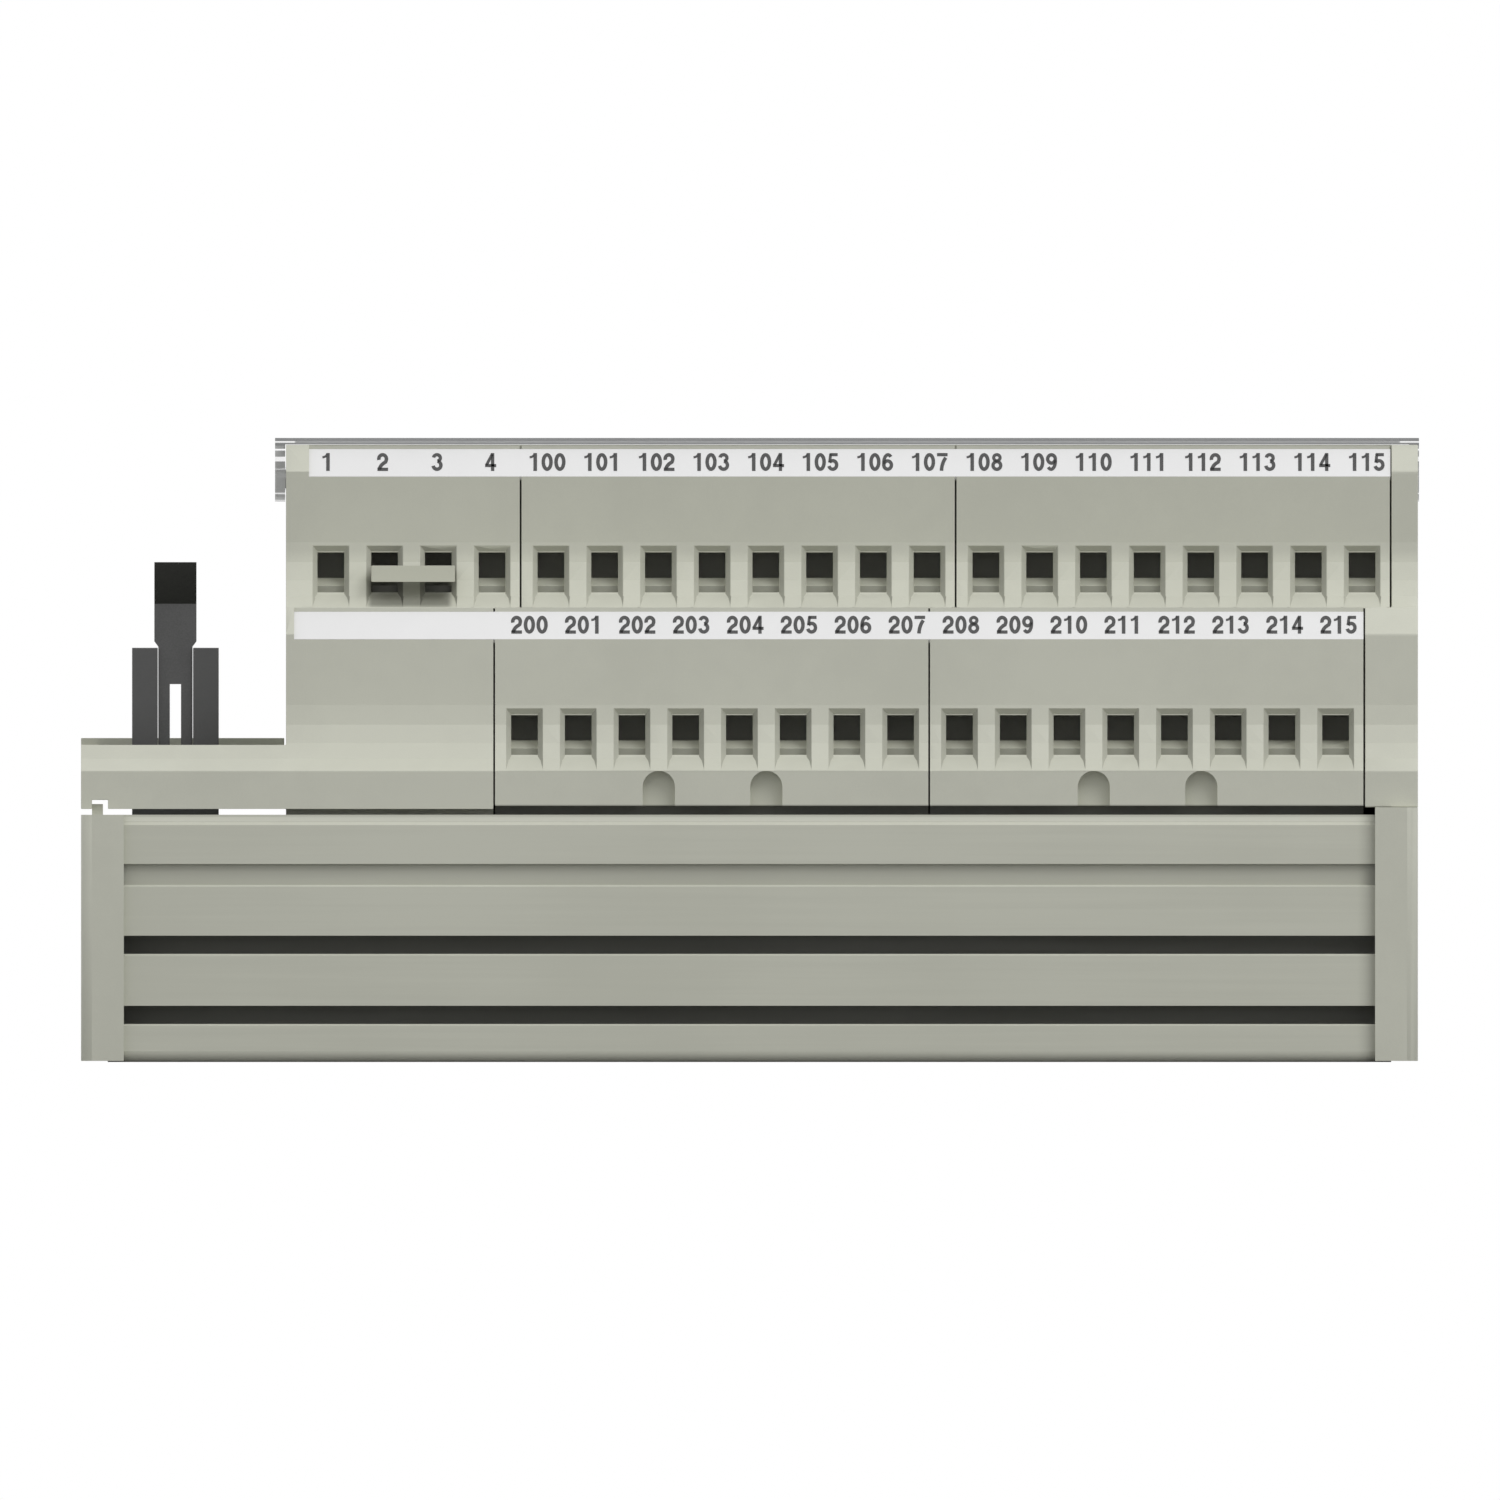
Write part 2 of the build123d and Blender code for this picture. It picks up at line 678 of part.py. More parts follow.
# Connector housing: the open bay round the header and the blank part of the lower tier
with BuildPart() as connector_housing:
    with BuildSketch(Plane.YZ.offset(left_x)):
        with BuildLine():
            tier_front(lower_wall_y, lower_datum_z, lower_flare_height)
            Polyline(
                (lower_wall_y + label_chamfer, lower_top_z),
                (lower_back_y, lower_top_z),
                (lower_back_y, board_top_z),
                (leg_y, board_top_z),
                (leg_y, bay_skirt_z),
                (front_y, bay_skirt_z),
                (front_y, lower_datum_z - lower_flare_height),
            )
        make_face()
    extrude(amount=lower_left_x - seam_gap - left_x)
    bay_front_top_z = bay_skirt_z + bay_front_height
    with BuildSketch(Plane.XY.offset(bay_front_top_z)):
        with Locations((left_x + bay_length / 2, 0)):
            Rectangle(bay_length, base_depth)
    extrude(amount=upper_top_z - bay_front_top_z, mode=Mode.SUBTRACT)
    with BuildSketch(Plane.XY.offset(board_top_z)):
        with Locations((left_x + bay_length / 2, (bay_inner_y + rear_y) / 2)):
            Rectangle(bay_length, rear_y - bay_inner_y)
    extrude(amount=upper_top_z - board_top_z, mode=Mode.SUBTRACT)
    with BuildSketch(Plane.XY.offset(board_top_z)):
        with Locations((left_x + bay_length / 2, 0)):
            Rectangle(bay_length, base_depth)
    extrude(amount=bay_skirt_z - board_top_z, mode=Mode.SUBTRACT)
    with BuildSketch(Plane.XY.offset(bay_skirt_z)):
        with Locations((left_x + wall / 2, (bay_inner_y + rear_y) / 2)):
            Rectangle(wall, rear_y - bay_inner_y)
    extrude(amount=bay_front_height)
    with BuildSketch(Plane.XY.offset(bay_skirt_z)):
        with Locations((left_x + (bay_length - seam_gap) / 2, rear_y - wall / 2)):
            Rectangle(bay_length - seam_gap, wall)
    extrude(amount=bay_rear_height)
    hollow_left_x = housing_split_x + wall
    hollow_right_x = lower_left_x - seam_gap - wall
    hollow_front_y = lower_wall_y + wall + label_chamfer / 2
    hollow_back_y = lower_back_y - wall
    with BuildSketch(Plane.XY.offset(board_top_z)):
        with Locations(((hollow_left_x + hollow_right_x) / 2, (hollow_front_y + hollow_back_y) / 2)):
            Rectangle(hollow_right_x - hollow_left_x, hollow_back_y - hollow_front_y)
    extrude(amount=lower_top_z - wall - board_top_z, mode=Mode.SUBTRACT)
    with BuildSketch(Plane.YZ.offset(housing_split_x + lower_strip_left)):
        with BuildLine():
            strip_space(lower_wall_y, lower_datum_z)
        make_face()
    extrude(amount=lower_left_x - housing_split_x, mode=Mode.SUBTRACT)
    with BuildSketch(Plane.XY.offset(bay_skirt_z)):
        with Locations((left_x + tongue_setback + rebate_width / 2, 0)):
            Rectangle(rebate_width, base_depth)
    extrude(amount=rebate_height, mode=Mode.SUBTRACT)
save(connector_housing, "connector_housing")

# Stepped end piece that closes both tiers at the right
with BuildPart() as end_piece_right:
    with BuildSketch(Plane.YZ.offset(lower_right_x)):
        with BuildLine():
            tier_front(lower_wall_y, lower_datum_z, lower_flare_height)
            Polyline(
                (lower_wall_y + label_chamfer, lower_top_z),
                (lower_back_y, lower_top_z),
                (lower_back_y, right_cap_top_z),
                (front_y, right_cap_top_z),
                (front_y, lower_datum_z - lower_flare_height),
            )
        make_face()
    extrude(amount=right_x - lower_right_x)
    with BuildSketch(Plane.YZ.offset(upper_right_x)):
        with BuildLine():
            tier_front(upper_wall_y, upper_datum_z, upper_flare_height)
            Polyline(
                (upper_wall_y + label_chamfer, upper_top_z),
                (upper_back_y, upper_top_z),
                (upper_back_y, right_cap_top_z),
                (upper_front_y, right_cap_top_z),
                (upper_front_y, lower_top_z),
            )
        make_face()
    extrude(amount=right_x - upper_right_x)
save(end_piece_right, "end_piece_right")

# Rear housing: a moulded hood over the board that carries the cover's hinge
leg_outer_y = tray_y - rib_reach - board_groove_gap
inner_top_z = upper_top_z - card_recess_depth - wall
rear_length = rear_right_x - housing_split_x
with BuildPart() as rear_housing:
    with BuildSketch(Plane.YZ.offset(housing_split_x)):
        with BuildLine():
            Polyline(
                (hinge_y, upper_top_z),
                (rear_front_y, upper_top_z),
                (rear_front_y, board_top_z),
                (leg_outer_y, board_top_z),
                (leg_outer_y, right_cap_top_z),
                (rear_y, right_cap_top_z),
                (rear_y, hinge_z),
            )
            CenterArc((hinge_y, hinge_z), hinge_radius, 0, 90)
        make_face()
    extrude(amount=rear_length)
    with BuildSketch(Plane.YZ.offset(housing_split_x + wall)):
        with BuildLine():
            Polyline(
                (rear_front_y + wall, board_top_z),
                (rear_front_y + wall, inner_top_z),
                (hinge_y, inner_top_z),
                (rear_y - wall, hinge_z),
                (rear_y - wall, right_cap_top_z + ledge_thickness),
                (leg_outer_y - leg_thickness, right_cap_top_z + ledge_thickness),
                (leg_outer_y - leg_thickness, board_top_z),
                close=True,
            )
        make_face()
    extrude(amount=rear_length - 2 * wall, mode=Mode.SUBTRACT)
    right_leg_x = profile_right_x - board_end_gap
    with BuildSketch(Plane.XY.offset(board_top_z)):
        with Locations(((right_leg_x + rear_right_x) / 2, 0)):
            Rectangle(rear_right_x - right_leg_x, base_depth)
    extrude(amount=right_cap_top_z - board_top_z, mode=Mode.SUBTRACT)
    recess_rear_y = hinge_y - cover_rear_gap - card_recess_margin
    recess_front_y = rear_front_y + card_recess_margin
    with BuildSketch(Plane.XY.offset(upper_top_z - card_recess_depth)):
        with Locations(((housing_split_x + rear_right_x) / 2, (recess_front_y + recess_rear_y) / 2)):
            Rectangle(rear_length - 2 * card_recess_margin, recess_rear_y - recess_front_y)
    extrude(amount=card_recess_depth, mode=Mode.SUBTRACT)
    for end_x in (housing_split_x, rear_right_x - wall):
        with BuildSketch(Plane.YZ.offset(end_x)):
            with Locations((hinge_y, hinge_z)):
                Circle(cover_pin_radius + cover_pin_clearance)
        extrude(amount=wall, mode=Mode.SUBTRACT)
save(rear_housing, "rear_housing")

# Clear cover, hinged on two pins at the rear
cover_rear_y = hinge_y - cover_rear_gap
with BuildPart() as clear_cover:
    with BuildSketch(Plane.XY.offset(cover_bottom_z)):
        with Locations(((cover_left_x + cover_right_x) / 2, (cover_front_y + cover_rear_y) / 2)):
            Rectangle(cover_right_x - cover_left_x, cover_rear_y - cover_front_y)
    extrude(amount=cover_thickness)
    ear_low_z = hinge_z - ear_radius
    for ear_x in (cover_left_x, cover_right_x - cover_side_thickness):
        with BuildSketch(Plane.YZ.offset(ear_x)):
            with Locations(((cover_ear_front_y + cover_rear_y) / 2, (ear_low_z + cover_bottom_z) / 2)):
                Rectangle(cover_rear_y - cover_ear_front_y, cover_bottom_z - ear_low_z)
            with Locations(((cover_rear_y + hinge_y) / 2, hinge_z)):
                Rectangle(hinge_y - cover_rear_y, 2 * ear_radius)
            with Locations((hinge_y, hinge_z)):
                Circle(ear_radius)
        extrude(amount=cover_side_thickness)
    pin_starts = (
        cover_left_x + cover_side_thickness,
        cover_right_x - cover_side_thickness - cover_pin_length,
    )
    for pin_x in pin_starts:
        with BuildSketch(Plane.YZ.offset(pin_x)):
            with Locations((hinge_y, hinge_z)):
                Circle(cover_pin_radius)
        extrude(amount=cover_pin_length)
save(clear_cover, "clear_cover")

# Label strips, let into the slopes of the two tiers
strips = (
    ("lower", lower_wall_y, lower_datum_z, lower_strip_left, lower_right_x - lower_strip_right),
    ("upper", upper_wall_y, upper_datum_z, upper_strip_left, upper_right_x - upper_strip_right),
)
for tier_name, wall_y, datum_z, strip_inset, strip_right_x in strips:
    strip_left_x = housing_split_x + strip_inset
    with BuildPart() as label_strip:
        with BuildSketch(Plane.YZ.offset(strip_left_x)):
            with BuildLine():
                Polyline(*strip_corners(wall_y, datum_z), close=True)
            make_face()
        extrude(amount=strip_right_x - strip_left_x)
    save(label_strip, f"label_strip_{tier_name}")

# Jumper link plugged into two neighbouring terminals of the common block
common_places = terminal_places(upper_left_x, common_terminals, upper_wall_y, upper_datum_z)
link_places = common_places[link_skipped_terminals:link_skipped_terminals + 2]
link_left_x = link_places[0][0] - window_width / 2
link_length = terminal_pitch + link_end_reach
link_back_y = upper_wall_y - link_stand_off
with BuildPart() as jumper_grip:
    with BuildSketch(Plane.XY.offset(upper_datum_z - link_top - link_height)):
        with Locations((link_left_x + link_length / 2, link_back_y - link_thickness / 2)):
            Rectangle(link_length, link_thickness)
    extrude(amount=link_height)
save(jumper_grip, "jumper_grip")

with BuildPart() as jumper_prongs:
    prong_length = link_stand_off + prong_reach
    with BuildSketch(Plane.XY.offset(upper_datum_z - prong_top - prong_thickness)):
        with Locations(*[(place[0], link_back_y + prong_length / 2) for place in link_places]):
            Rectangle(prong_width, prong_length)
    extrude(amount=prong_thickness)
save(jumper_prongs, "jumper_prongs")

# Box header, with seats for its two latches that open towards the board
latch_y = header_length / 2 - latch_inset - latch_thickness / 2
with BuildPart() as header_body:
    with BuildSketch(Plane.XY.offset(board_top_z)):
        with Locations((header_x, 0)):
            Rectangle(header_width, header_length)
    extrude(amount=header_top_z - board_top_z)
    with BuildSketch(Plane.XY.offset(header_floor_z)):
        with Locations((header_x, 0)):
            Rectangle(socket_width, socket_length)
            Rectangle(latch_width + 2 * latch_side_gap, header_length)
    extrude(amount=header_top_z - header_floor_z, mode=Mode.SUBTRACT)
    with BuildSketch(Plane.XY.offset(latch_slot_floor_z)):
        slot_y = (header_length - latch_slot_length) / 2
        with Locations((header_x, -slot_y), (header_x, slot_y)):
            Rectangle(latch_width + 2 * latch_side_gap, latch_slot_length)
    extrude(amount=header_floor_z - latch_slot_floor_z, mode=Mode.SUBTRACT)
    with BuildSketch(Plane.XY.offset(header_top_z - key_height)):
        with Locations((header_x + header_width / 2, 0)):
            Rectangle(header_width - socket_width, key_width)
    extrude(amount=key_height, mode=Mode.SUBTRACT)
    seat_top_z = pivot_z + pivot_radius + pivot_clearance
    seat_length = 2 * (pivot_radius + pivot_clearance)
    with BuildSketch(Plane.XY.offset(board_top_z)):
        with Locations((header_x, -latch_y), (header_x, latch_y)):
            Rectangle(pivot_length + 2 * latch_side_gap, seat_length)
    extrude(amount=seat_top_z - board_top_z, mode=Mode.SUBTRACT)
save(header_body, "header_body")

with BuildPart() as header_pins:
    with BuildSketch(Plane.XY.offset(board_bottom_z - contact_tail)):
        with Locations((header_x, 0)):
            with GridLocations(contact_pitch, contact_pitch, contact_rows, contact_columns):
                Rectangle(contact_width, contact_width)
    extrude(amount=contact_top_z - board_bottom_z + contact_tail)
save(header_pins, "header_pins")

# Latches that lock the plug and lift it out, one at each end of the header
for latch_name, end in (("latch_front", -1), ("latch_rear", 1)):
    outer_y = end * (latch_y + latch_thickness / 2)
    inner_y = end * (latch_y - latch_thickness / 2)
    with BuildPart() as latch:
        with BuildSketch(Plane.YZ.offset(header_x - latch_head_width / 2)):
            with BuildLine():
                Polyline(
                    (outer_y, latch_foot_z),
                    (outer_y, latch_bend_z),
                    (outer_y + end * latch_lean, latch_top_z),
                    (outer_y + end * (latch_lean - latch_crest), latch_top_z),
                    (inner_y, latch_bend_z),
                    (inner_y, hook_z + hook_rise),
                    (inner_y - end * hook_nose, hook_z + hook_thickness),
                    (inner_y - end * hook_nose, hook_z),
                    (inner_y, hook_z),
                    (inner_y, toe_z + toe_thickness),
                    (inner_y - end * toe_reach, toe_z + toe_thickness),
                    (inner_y - end * toe_reach, toe_z),
                    (inner_y, toe_z),
                    (inner_y, latch_foot_z),
                    close=True,
                )
            make_face()
        extrude(amount=latch_head_width)
        with BuildSketch(Plane.XZ.offset(-base_depth / 2)):
            head_foot_z = latch_shoulder_z + latch_taper
            with Locations((header_x, (head_foot_z + latch_top_z) / 2)):
                Rectangle(latch_head_width, latch_top_z - head_foot_z)
            with BuildLine():
                Polyline(
                    (header_x - latch_width / 2, latch_shoulder_z),
                    (header_x - latch_head_width / 2, head_foot_z),
                    (header_x + latch_head_width / 2, head_foot_z),
                    (header_x + latch_width / 2, latch_shoulder_z),
                    close=True,
                )
            make_face()
            with Locations((header_x, (latch_foot_z + latch_shoulder_z) / 2)):
                Rectangle(latch_width, latch_shoulder_z - latch_foot_z)
            with Locations((header_x, (fork_foot_z + fork_top_z) / 2)):
                Rectangle(fork_width, fork_top_z - fork_foot_z, mode=Mode.SUBTRACT)
        extrude(amount=base_depth, mode=Mode.INTERSECT)
        with Locations((header_x, end * latch_y, pivot_z)):
            Cylinder(pivot_radius, pivot_length, rotation=(0, 90, 0))
    save(latch, latch_name)
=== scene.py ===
# %% [markdown]
# # A terminal interface sub-base, dressed for its portrait
# The object clips on a mounting rail in a control cabinet. Two tiers of screw terminals stand on a
# grey extruded base, a black box header waits for a ribbon cable at the left, and a clear cover lies
# over the top. The solids come from CAD, so this lesson only gives them their finishes, their
# printed numbers, a stage, light and a camera. The first cell loads the solids and defines a helper for
# their boxes.
# Blender works in metres, while the object's sizes below are written in millimetres, and MM turns
# them into metres.

# %% Load the solids
import math

import bpy
import numpy as np
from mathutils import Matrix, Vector


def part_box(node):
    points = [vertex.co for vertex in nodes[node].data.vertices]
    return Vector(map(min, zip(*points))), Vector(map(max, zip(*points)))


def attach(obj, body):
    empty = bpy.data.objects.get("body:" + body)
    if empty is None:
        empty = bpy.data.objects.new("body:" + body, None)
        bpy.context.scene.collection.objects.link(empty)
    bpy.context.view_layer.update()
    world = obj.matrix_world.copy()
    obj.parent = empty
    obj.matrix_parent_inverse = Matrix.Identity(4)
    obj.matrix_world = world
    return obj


MM = 0.001
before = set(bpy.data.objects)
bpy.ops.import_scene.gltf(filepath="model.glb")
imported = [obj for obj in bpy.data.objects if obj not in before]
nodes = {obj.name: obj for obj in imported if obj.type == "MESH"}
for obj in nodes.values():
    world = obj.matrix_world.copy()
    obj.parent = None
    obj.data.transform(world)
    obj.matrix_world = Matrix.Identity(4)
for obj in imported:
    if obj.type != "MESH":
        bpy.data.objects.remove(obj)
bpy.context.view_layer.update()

# %% [markdown]
# ## Shader maths written as Python
# Node trees are hard to read as a list of links. This small class wraps one socket, and its
# operators add the Math nodes, so a pattern can be written as a formula. Colours are mixed with Mix
# nodes, because a Math node would turn them grey, and a vector is split into its coordinates first.

# %% A socket with operators
X, Y, Z = 0, 1, 2


class Field:
    """One value, colour or vector in a material, with Python's operators for its numbers."""

    def __init__(self, tree, socket):
        self.tree, self.socket = tree, socket

    def node(self, kind, settings=None, out=0, **inputs):
        """Adds a node of any type: first its settings, then the values or links of its sockets.

        A socket goes by its name, with _ for a space, or by i and its number.
        """
        made = self.tree.nodes.new(kind)
        for name, value in (settings or {}).items():
            setattr(made, name, value)
        for name, value in inputs.items():
            numbered = name[0] == "i" and name[1:].isdigit()
            key = int(name[1:]) if numbered else name.replace("_", " ")
            if isinstance(value, Field):
                self.tree.links.new(value.socket, made.inputs[key])
            else:
                made.inputs[key].default_value = value
        return Field(self.tree, made.outputs[out])

    def maths(self, operation, other=0.0):
        """Adds a Math node that works on this value and another one."""
        return self.node("ShaderNodeMath", {"operation": operation}, i0=self, i1=other)

    def __add__(self, other):
        return self.maths("ADD", other)

    def __sub__(self, other):
        return self.maths("SUBTRACT", other)

    def __rsub__(self, other):
        return (self * -1.0).maths("ADD", other)

    def __mul__(self, other):
        return self.maths("MULTIPLY", other)

    def __gt__(self, other):
        return self.maths("GREATER_THAN", other)

    __radd__, __rmul__ = __add__, __mul__

    def between(self, low, high):
        """Rises smoothly from 0 at low to 1 at high."""
        return self.node("ShaderNodeMapRange", {"interpolation_type": "SMOOTHSTEP"},
                         Value=self, From_Min=low, From_Max=high)

    def part(self, axis):
        """One coordinate of a vector."""
        return self.node("ShaderNodeSeparateXYZ", out=axis, i0=self)

    def mix(self, dark, light):
        """Uses this value to go from one colour to another."""
        return self.node("ShaderNodeMix", {"data_type": "RGBA"}, out=2, i0=self, i6=dark, i7=light)


def band(value, low, high, blur):
    """1 between two levels and 0 outside them, with soft ends."""
    return value.between(low - blur, low + blur) - value.between(high - blur, high + blur)


# %% [markdown]
# ## A finish and its three ingredients
# Every finish below starts the same way: a Principled shader, and the point of the surface in the
# object's own space. Noise at a size in millimetres gives tone, gloss and relief, each at the
# scale where the real surface has it. The relief goes through one Bump node.

# %% A new finish
def linear(text):
    """The linear colour of a hex code, which is what a shader works in."""
    parts = [int(text[i:i + 2], 16) / 255 for i in (0, 2, 4)]
    return tuple(c / 12.92 if c < 0.04045 else ((c + 0.055) / 1.055) ** 2.4 for c in parts) + (1.0,)


def scaled(colour, factor):
    """A colour made darker or lighter by a factor."""
    return tuple(min(1.0, c * factor) for c in colour[:3]) + (1.0,)


class Finish:
    """A material under construction: its shader, and where a point lies and faces on its piece."""

    def __init__(self, name, **constants):
        self.material = bpy.data.materials.new(name)
        self.material.use_nodes = True
        self.tree = self.material.node_tree
        self.shader = self.tree.nodes["Principled BSDF"]
        for key, value in constants.items():
            self.shader.inputs[key.replace("_", " ")].default_value = value
        own = self.tree.nodes.new("ShaderNodeTexCoord")
        self.place = Field(self.tree, own.outputs["Object"])
        self.facing = Field(self.tree, own.outputs["Normal"])

    def mm(self, axis):
        """How far along X, Y or Z the point lies, in millimetres."""
        return self.place.part(axis) * (1 / MM)

    def noise(self, size_mm, detail=2.0, stretch=(1, 1, 1)):
        """Cloudy noise whose blobs are about size_mm wide; a stretch under 1 draws them out."""
        spot = self.place
        if stretch != (1, 1, 1):
            spot = spot.node("ShaderNodeMapping", Vector=spot, Scale=stretch)
        return spot.node("ShaderNodeTexNoise", Vector=spot, Scale=1 / (size_mm * MM), Detail=detail)

    def feed(self, **links):
        """Links values to the shader's sockets, each named with _ for a space."""
        for key, value in links.items():
            self.tree.links.new(value.socket, self.shader.inputs[key.replace("_", " ")])

    def relief(self, height, depth_mm):
        """Turns a height between 0 and 1 into bumps of that depth."""
        bump = height.node("ShaderNodeBump", Height=height, Distance=depth_mm * MM, Strength=1.0)
        self.feed(Normal=bump)


def paint(material, *names):
    """Gives one finish to whole CAD nodes."""
    for name in names:
        mesh = nodes[name].data
        mesh.materials.clear()
        mesh.materials.append(material)
    print(material.name, "on", ", ".join(names))


# %% [markdown]
# ## Grey moulded plastic
# Housings and blocks are filled thermoplastic from a spark-eroded mould. The colour is a warm light
# grey that hardly varies, and the skin is a fine even grain that spreads every highlight. Three
# noises do it: a wide one for the slow drift of tone, a middle one for gloss, a fine one for relief.

# %% Housing plastic
PLASTIC_IOR = 1.49
DRIFT_MM, CLOUD_MM, GRAIN_MM = 18.0, 2.2, 0.16
HOUSING_GREY, PAINTED_SHADE_TONE = "d0d1c3", linear("191913")
FACES_STRAIGHT = 0.9
UPPER_WALL_FOOT, UPPER_WALL_SHADE = (46.8, 48.0), 0.12


def moulded_plastic(name, colour, drift=0.03, grain_mm=GRAIN_MM, grain_depth_mm=0.004,
                    rough=(0.42, 0.56), shade=None):
    """Plastic with a slow drift of tone, uneven gloss and a fine grain; shade paints shade into chosen
    places.
    """
    finish = Finish(name, IOR=PLASTIC_IOR)
    base = linear(colour)
    slow = finish.noise(DRIFT_MM, detail=3.0)
    middle = finish.noise(CLOUD_MM, detail=4.0)
    grain = finish.noise(grain_mm, detail=1.0)
    tone = (slow * 0.6 + middle * 0.25 + grain * 0.15).between(0.36, 0.64)
    gloss = (middle * 0.7 + grain * 0.3).between(0.3, 0.7)
    tint = tone.mix(scaled(base, 1 - drift), scaled(base, 1 + drift))
    if shade:
        # shade paints shade into the colour: it mixes the tint toward a dark tone.
        tint = shade(finish).mix(tint, PAINTED_SHADE_TONE)
    finish.feed(Base_Color=tint, Roughness=gloss * (rough[1] - rough[0]) + rough[0])
    finish.relief(grain * 0.7 + middle * 0.3, grain_depth_mm)
    return finish.material


def faces_front(finish):
    """1 on upright surfaces that look towards -Y."""
    return finish.facing.part(Y) * -1.0 > FACES_STRAIGHT


def upper_wall_painted_shade(finish):
    """Painted shade on the upright wall over the upper row of windows, a little darker under the cover.
    """
    return faces_front(finish) * finish.mm(Z).between(*UPPER_WALL_FOOT) * UPPER_WALL_SHADE


housing_plastic = moulded_plastic("housing_plastic", HOUSING_GREY, shade=upper_wall_painted_shade)
paint(housing_plastic, "end_cap_left", "end_cap_right", "connector_housing", "end_piece_right",
      "rear_housing")
# The link's grey is a little darker than the housing's: painted shade, because its face stands out into
# more light.
link_plastic = moulded_plastic("link_plastic", "c2c3b5", drift=0.02, rough=(0.36, 0.46))
paint(link_plastic, "jumper_grip")
foot_plastic = moulded_plastic("foot_plastic", "b9baad", grain_mm=0.3, grain_depth_mm=0.006)
paint(foot_plastic, "rail_foot_left", "rail_foot_right")
black_plastic = moulded_plastic("black_plastic", "4f4f4f", drift=0.08, rough=(0.4, 0.52))
paint(black_plastic, "header_body")

# %% [markdown]
# ## Terminal blocks
# A wire entry is a funnel, and its flanks and head see less of the room than the wall round them, so
# painted shade darkens them. The surface normal tells the three apart: a slanting flank faces mostly
# sideways, and a head faces down. The ramp's foot inside, found by its place along Y, gets painted
# shade too. Each block stands in the base with a tongue that lies in the dark, painted dark here, and
# the link's shadow is painted on the wall under it.

# %% Shaded funnels
BLOCKS = ("common", "upper_left", "upper_right", "lower_left", "lower_right")
UPPER_RAMP_Y, LOWER_RAMP_Y = -16.47, -29.35
UPPER_HEAD_SHADE, LOWER_HEAD_SHADE = 0.24, 0.07
FACING_LEFT_SHADE, FACING_RIGHT_SHADE, RAMP_FOOT_SHADE = 0.4, 0.18, 0.46
TONGUE_TOP, TONGUE_SHADE = 24.0, 0.7
FLANK_SLANT, HEAD_SLANT = (0.6, 0.9), (0.5, 0.9)


def funnel_shade(finish, ramp_y_mm, head_shade):
    """Paints shade into flanks, heads, ramp feet and the tongue in the base, none darker than the
    tongue.
    """
    sideways, down = finish.facing.part(X), finish.facing.part(Z) * -1.0
    flanks = (band(sideways * -1.0, *FLANK_SLANT, 0.05) * FACING_LEFT_SHADE
              + band(sideways, *FLANK_SLANT, 0.05) * FACING_RIGHT_SHADE)
    heads = band(down, *HEAD_SLANT, 0.05) * head_shade
    foot = band(finish.mm(Y), ramp_y_mm - 0.1, ramp_y_mm + 0.1, 0.02)
    feet = foot * faces_front(finish) * RAMP_FOOT_SHADE
    tongue = (1.0 - finish.mm(Z).between(TONGUE_TOP - 0.1, TONGUE_TOP + 0.1)) * TONGUE_SHADE
    return (flanks + heads + feet + tongue + upper_wall_painted_shade(finish)).maths("MINIMUM", TONGUE_SHADE)


def row_plastic(name, ramp_y_mm, head_shade):
    """The housing's plastic with the painted shade of one row of funnels."""
    def shade(finish):
        return funnel_shade(finish, ramp_y_mm, head_shade)
    return moulded_plastic(name, HOUSING_GREY, shade=shade)


upper_plastic = row_plastic("upper_row_plastic", UPPER_RAMP_Y, UPPER_HEAD_SHADE)
lower_plastic = row_plastic("lower_row_plastic", LOWER_RAMP_Y, LOWER_HEAD_SHADE)
paint(upper_plastic, "terminal_block_upper_left", "terminal_block_upper_right")
paint(lower_plastic, "terminal_block_lower_left", "terminal_block_lower_right")

# %% The shade under the link
UNDER_LINK_X, BESIDE_LINK_X = (-35.6, -28.0), (-37.8, -35.9)
INSIDE_WINDOW_Y, SHELF_Z, LINK_HEAD_Z = (-17.3, -17.0), 42.3, 46.4
LINK_SHADE, INNER_LINK_SHADE, BESIDE_LINK_SHADE, DEEPEST_SHADE = 0.55, 0.25, 0.08, 0.82


def link_shade(finish):
    """Paints the link's shadow under it: across its width, from its lower side down to the strip."""
    x, y, z = [finish.mm(axis) for axis in (X, Y, Z)]
    under = (band(x, *UNDER_LINK_X, 0.35) * z.between(SHELF_Z, SHELF_Z + 0.5)
             * (1.0 - z.between(LINK_HEAD_Z - 2.1, LINK_HEAD_Z)))
    beside = (band(x, *BESIDE_LINK_X, 0.7) * z.between(SHELF_Z, SHELF_Z + 1.1)
              * (1.0 - z.between(LINK_HEAD_Z - 1.8, LINK_HEAD_Z)))
    inside = y.between(*INSIDE_WINDOW_Y)
    shadow = under * (inside * INNER_LINK_SHADE + LINK_SHADE) + beside * BESIDE_LINK_SHADE
    funnels = funnel_shade(finish, UPPER_RAMP_Y, UPPER_HEAD_SHADE)
    return (shadow + funnels).maths("MINIMUM", DEEPEST_SHADE)


common_plastic = moulded_plastic("common_plastic", HOUSING_GREY, shade=link_shade)
paint(common_plastic, "terminal_block_common")
